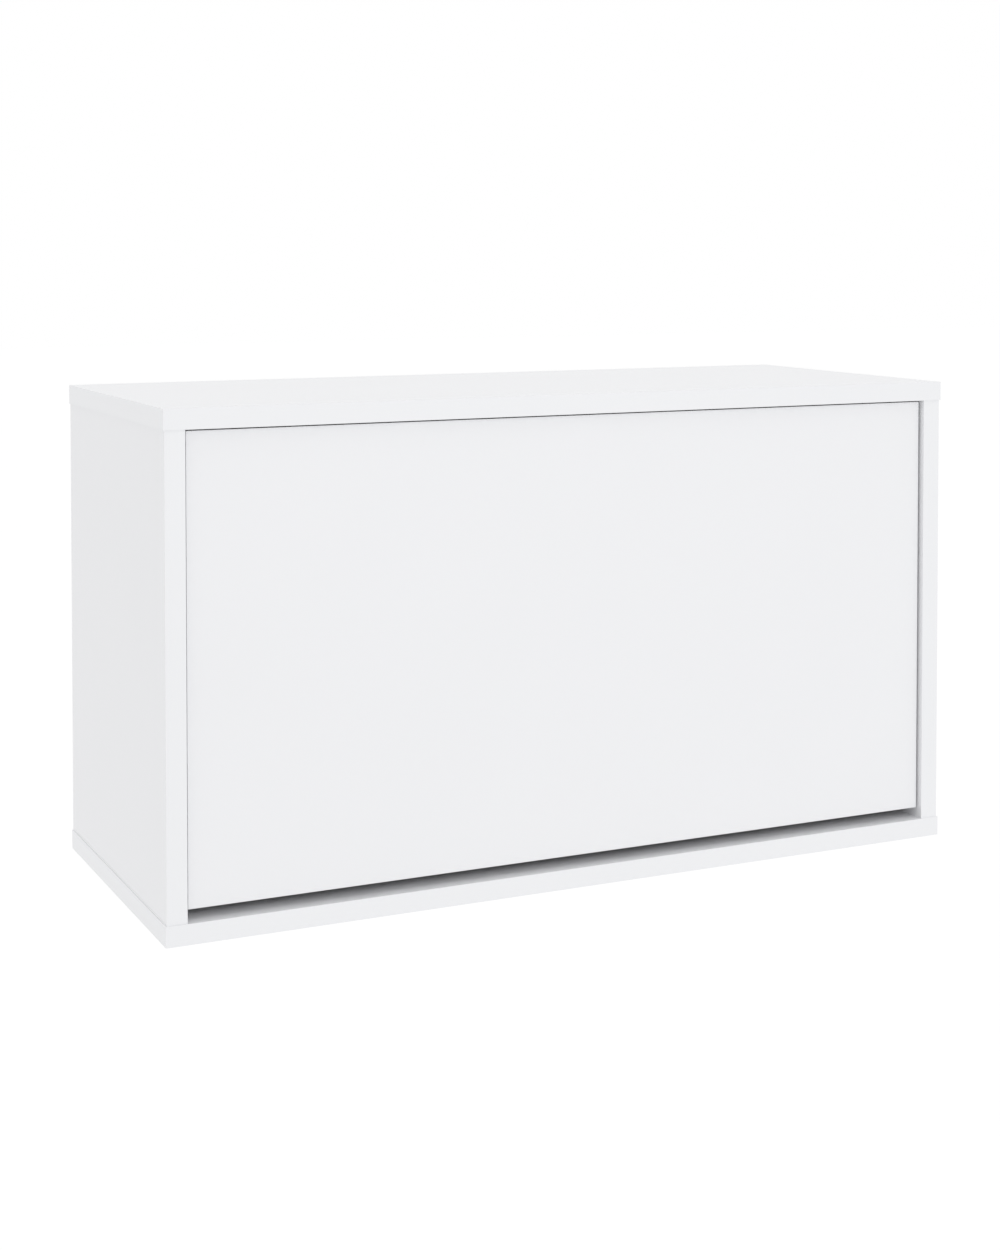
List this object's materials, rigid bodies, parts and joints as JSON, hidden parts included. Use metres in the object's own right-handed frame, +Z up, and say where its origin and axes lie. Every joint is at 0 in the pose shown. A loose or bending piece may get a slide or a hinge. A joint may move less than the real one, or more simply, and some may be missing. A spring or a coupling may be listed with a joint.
{
  "type": "hanging wall cabinet",
  "caption": "White box-shaped cabinet that hangs on wall plates, with one lift-up flap held by friction stays and opened by a finger gap.",
  "frame": {"origin": "centre of the rectangle of four wall screw holes, on the wall plane", "axes": "+X to the right seen from the front, +Y into the wall, +Z up; the flap faces -Y"},
  "size_m": [0.7, 0.285, 0.4],
  "materials": {
    "white_board": "satin white melamine face on chipboard",
    "white_edging": "satin white edging strip",
    "white_hardboard": "white lacquered face, raw brown rear",
    "beech": "turned, unfinished",
    "cast_zinc": "cast, satin",
    "zinc_plated_steel": "zinc plated",
    "white_plastic": "moulded, fine texture",
    "grey_nylon": "moulded",
    "friction_lining": "pressed fibre",
    "clear_bumper": "clear, soft"
  },
  "bodies": {
    "wall_fixing": {"left_hook": "zinc_plated_steel", "right_hook": "zinc_plated_steel", "left_wall_plate": "zinc_plated_steel", "right_wall_plate": "zinc_plated_steel"},
    "flap": {"flap_panel": "white_board", "flap_edging": "white_edging", "left_pivot_hinge": "zinc_plated_steel", "right_pivot_hinge": "zinc_plated_steel", "pivot_hinge_screws": "zinc_plated_steel", "left_flap_bracket": "zinc_plated_steel", "right_flap_bracket": "zinc_plated_steel", "flap_bracket_screws": "zinc_plated_steel", "left_link_rivet": "zinc_plated_steel", "right_link_rivet": "zinc_plated_steel"},
    "left_arm": {"left_stay_arm": "zinc_plated_steel", "left_arm_rivet": "zinc_plated_steel", "left_friction_discs": "zinc_plated_steel"},
    "right_arm": {"right_stay_arm": "zinc_plated_steel", "right_arm_rivet": "zinc_plated_steel", "right_friction_discs": "zinc_plated_steel"},
    "left_link": {"left_stay_link": "zinc_plated_steel"},
    "right_link": {"right_stay_link": "zinc_plated_steel"},
    "cabinet": {"top_panel": "white_board", "bottom_panel": "white_board", "left_side": "white_board", "right_side": "white_board", "top_edging": "white_edging", "bottom_edging": "white_edging", "left_side_edging": "white_edging", "right_side_edging": "white_edging", "back_panel": "white_hardboard", "dowels": "beech", "cam_locks": "cast_zinc", "left_stay_base": "cast_zinc", "right_stay_base": "cast_zinc", "left_hanger_housing": "cast_zinc", "right_hanger_housing": "cast_zinc", "cam_bolts": "zinc_plated_steel", "hanger_fixing_screws": "zinc_plated_steel", "hanger_height_screws": "zinc_plated_steel", "hanger_depth_screws": "zinc_plated_steel", "left_stay_shaft": "zinc_plated_steel", "right_stay_shaft": "zinc_plated_steel", "stay_screws": "zinc_plated_steel", "flap_stop_screws": "zinc_plated_steel", "cam_caps": "white_plastic", "left_hanger_cover": "white_plastic", "right_hanger_cover": "white_plastic", "left_stay_cover": "white_plastic", "right_stay_cover": "white_plastic", "left_flap_stop": "white_plastic", "right_flap_stop": "white_plastic", "left_pivot_bush": "grey_nylon", "right_pivot_bush": "grey_nylon", "left_friction_pads": "friction_lining", "right_friction_pads": "friction_lining", "flap_bumpers": "clear_bumper"}
  },
  "joints": [
    {"name": "height_adjust", "type": "slide", "parent": "wall_fixing", "child": "cabinet", "axis": [0, 0, 1], "range_m": [-0.003, 0.006]},
    {"name": "flap_lift", "type": "hinge", "parent": "cabinet", "child": "flap", "pos_m": [0, -0.274, 0.04068], "axis": [-1, 0, 0], "range_deg": [0, 95]},
    {"name": "left_arm_turn", "type": "hinge", "parent": "cabinet", "child": "left_arm", "pos_m": [-0.3172, -0.204, -0.01932], "axis": [-1, 0, 0], "range_deg": [0, 95]},
    {"name": "left_link_turn", "type": "hinge", "parent": "left_arm", "child": "left_link", "pos_m": [-0.3139, -0.184, -0.11932], "axis": [-1, 0, 0], "range_deg": [-95, 0]},
    {"name": "right_arm_turn", "type": "hinge", "parent": "cabinet", "child": "right_arm", "pos_m": [0.3172, -0.204, -0.01932], "axis": [-1, 0, 0], "range_deg": [0, 95]},
    {"name": "right_link_turn", "type": "hinge", "parent": "right_arm", "child": "right_link", "pos_m": [0.3139, -0.184, -0.11932], "axis": [-1, 0, 0], "range_deg": [-95, 0]}
  ],
  "couplings": [
    {"joint": "left_arm_turn", "follows": "flap_lift", "ratio": 1},
    {"joint": "left_link_turn", "follows": "flap_lift", "ratio": -1},
    {"joint": "right_arm_turn", "follows": "flap_lift", "ratio": 1},
    {"joint": "right_link_turn", "follows": "flap_lift", "ratio": -1}
  ]
}
